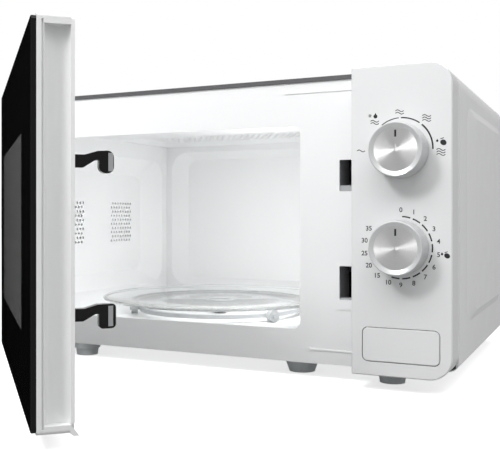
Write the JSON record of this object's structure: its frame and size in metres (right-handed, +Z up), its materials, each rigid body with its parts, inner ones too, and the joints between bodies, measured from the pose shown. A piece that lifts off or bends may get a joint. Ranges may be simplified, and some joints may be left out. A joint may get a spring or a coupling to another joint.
{
  "type": "microwave oven",
  "caption": "Countertop microwave oven with a left-hinged door standing open, two rotary knobs, a push-button door release and a glass turntable.",
  "frame": {"origin": "on the ground, below the middle of the front frame, within about 4 mm of the middle of the box round the oven with its door open", "axes": "+X to the right of a person facing the oven, +Y from the front frame to the rear, +Z up"},
  "size_m": [0.4486, 0.5696, 0.261],
  "materials": {
    "white_enamel": "gloss white enamel",
    "cavity_enamel": "satin off-white enamel",
    "white_plastic": "gloss",
    "door_plastic": "satin light grey-white",
    "grey_plastic": "satin",
    "cream_plastic": "matt",
    "silver_plastic": "metallic paint",
    "black_plastic": "satin black",
    "red_plastic": "satin",
    "clear_plastic": "clear film",
    "circuit_board": "printed board",
    "mica": "pearly mica sheet",
    "brushed_aluminium": "radially brushed",
    "galvanised_steel": "zinc coated",
    "dark_steel": "varnished laminations",
    "spring_steel": "bright",
    "screen_steel": "black coated, perforated",
    "copper": "enamelled copper",
    "black_glass": "gloss black backed glass",
    "clear_glass": "clear",
    "grey_rubber": "matt",
    "dark_rubber": "matt"
  },
  "bodies": {
    "casing": {"front_plate": "white_enamel", "top_seal_strip": "dark_rubber", "outer_wrapper": "white_enamel", "rear_panel": "galvanised_steel", "base_plate": "galvanised_steel", "feet": "grey_rubber", "centre_foot": "grey_rubber", "cavity_left_wall": "cavity_enamel", "cavity_right_wall": "cavity_enamel", "cavity_back_wall": "cavity_enamel", "cavity_ceiling": "cavity_enamel", "cavity_floor": "cavity_enamel", "control_panel": "white_plastic", "selector_switch": "cream_plastic", "timer_unit": "galvanised_steel", "latch_housing": "grey_plastic", "microswitches": "black_plastic", "hinge_plates": "galvanised_steel", "turntable_motor": "galvanised_steel", "waveguide": "galvanised_steel", "waveguide_cover": "mica", "magnetron_yoke": "galvanised_steel", "magnetron_tube": "copper", "transformer_core": "dark_steel", "transformer_windings": "copper", "high_voltage_capacitor": "galvanised_steel", "high_voltage_diode": "black_plastic", "fan_shroud": "cream_plastic", "fan_motor": "dark_steel", "oven_lamp": "clear_glass", "filter_board": "circuit_board", "thermal_cutout": "black_plastic", "cord_gland": "black_plastic", "screws": "spring_steel"},
    "door": {"door_glass": "black_glass", "door_frame": "door_plastic", "door_inner_panel": "white_enamel", "door_screen": "screen_steel", "door_window_film": "clear_plastic", "door_choke_ring": "galvanised_steel"},
    "latch": {"latch_bar": "black_plastic", "latch_spring": "spring_steel"},
    "button": {"release_button": "white_plastic", "button_spring": "spring_steel"},
    "lever": {"release_lever": "grey_plastic"},
    "upper_plunger": {"upper_switch_plunger": "red_plastic"},
    "lower_plunger": {"lower_switch_plunger": "red_plastic"},
    "power_control": {"power_knob": "silver_plastic", "power_knob_cap": "brushed_aluminium", "power_shaft": "spring_steel"},
    "timer_control": {"timer_knob": "silver_plastic", "timer_knob_cap": "brushed_aluminium", "timer_shaft": "spring_steel"},
    "turntable": {"turntable_tray": "clear_glass", "turntable_coupler": "grey_plastic"},
    "ring": {"roller_ring": "grey_plastic"},
    "wheel_1": {"roller_1": "grey_plastic"},
    "wheel_2": {"roller_2": "grey_plastic"},
    "wheel_3": {"roller_3": "grey_plastic"},
    "fan": {"fan_blade": "cream_plastic"}
  },
  "joints": [
    {"name": "door_hinge", "type": "hinge", "parent": "casing", "child": "door", "pos_m": [-0.216, -0.018, 0.135], "axis": [0, 0, -1], "range_deg": [-46.3, 48.7]},
    {"name": "latch_slide", "type": "slide", "parent": "door", "child": "latch", "axis": [0, 0, 1], "range_m": [0, 0.005], "stiffness_N_per_m": 300, "springref_m": -0.003},
    {"name": "button_slide", "type": "slide", "parent": "casing", "child": "button", "axis": [0, 1, 0], "range_m": [0, 0.0055], "stiffness_N_per_m": 400, "springref_m": -0.002},
    {"name": "lever_pivot", "type": "hinge", "parent": "casing", "child": "lever", "pos_m": [0.135, 0.007, 0.062], "axis": [1, 0, 0], "range_deg": [0, 15]},
    {"name": "upper_plunger_slide", "type": "slide", "parent": "casing", "child": "upper_plunger", "axis": [0, 1, 0], "range_m": [0, 0.0015], "stiffness_N_per_m": 200, "springref_m": -0.001},
    {"name": "lower_plunger_slide", "type": "slide", "parent": "casing", "child": "lower_plunger", "axis": [0, 1, 0], "range_m": [0, 0.0015], "stiffness_N_per_m": 200, "springref_m": -0.001},
    {"name": "power_turn", "type": "hinge", "parent": "casing", "child": "power_control", "pos_m": [0.1806, -0.04, 0.1908], "axis": [0, 1, 0], "range_deg": [-90, 90]},
    {"name": "timer_turn", "type": "hinge", "parent": "casing", "child": "timer_control", "pos_m": [0.1806, -0.04, 0.1149], "axis": [0, 1, 0], "range_deg": [0, 300]},
    {"name": "turntable_spin", "type": "hinge", "parent": "casing", "child": "turntable", "pos_m": [-0.056, 0.135, 0.045], "axis": [0, 0, 1], "continuous": true},
    {"name": "ring_spin", "type": "hinge", "parent": "casing", "child": "ring", "pos_m": [-0.056, 0.135, 0.0393], "axis": [0, 0, 1], "continuous": true},
    {"name": "wheel_1_roll", "type": "hinge", "parent": "ring", "child": "wheel_1", "pos_m": [-0.056, 0.2285, 0.0393], "axis": [0, 1, 0], "continuous": true},
    {"name": "wheel_2_roll", "type": "hinge", "parent": "ring", "child": "wheel_2", "pos_m": [-0.13697, 0.08825, 0.0393], "axis": [-0.866, -0.5, 0], "continuous": true},
    {"name": "wheel_3_roll", "type": "hinge", "parent": "ring", "child": "wheel_3", "pos_m": [0.02497, 0.08825, 0.0393], "axis": [0.866, -0.5, 0], "continuous": true},
    {"name": "fan_spin", "type": "hinge", "parent": "casing", "child": "fan", "pos_m": [0.152, 0.259, 0.15], "axis": [0, 1, 0], "continuous": true}
  ],
  "couplings": [
    {"joint": "lever_pivot", "follows": "button_slide", "rad_per_m": 47.5},
    {"joint": "ring_spin", "follows": "turntable_spin", "ratio": 0.5},
    {"joint": "wheel_1_roll", "follows": "turntable_spin", "ratio": -7.7917},
    {"joint": "wheel_2_roll", "follows": "turntable_spin", "ratio": -7.7917},
    {"joint": "wheel_3_roll", "follows": "turntable_spin", "ratio": -7.7917}
  ]
}
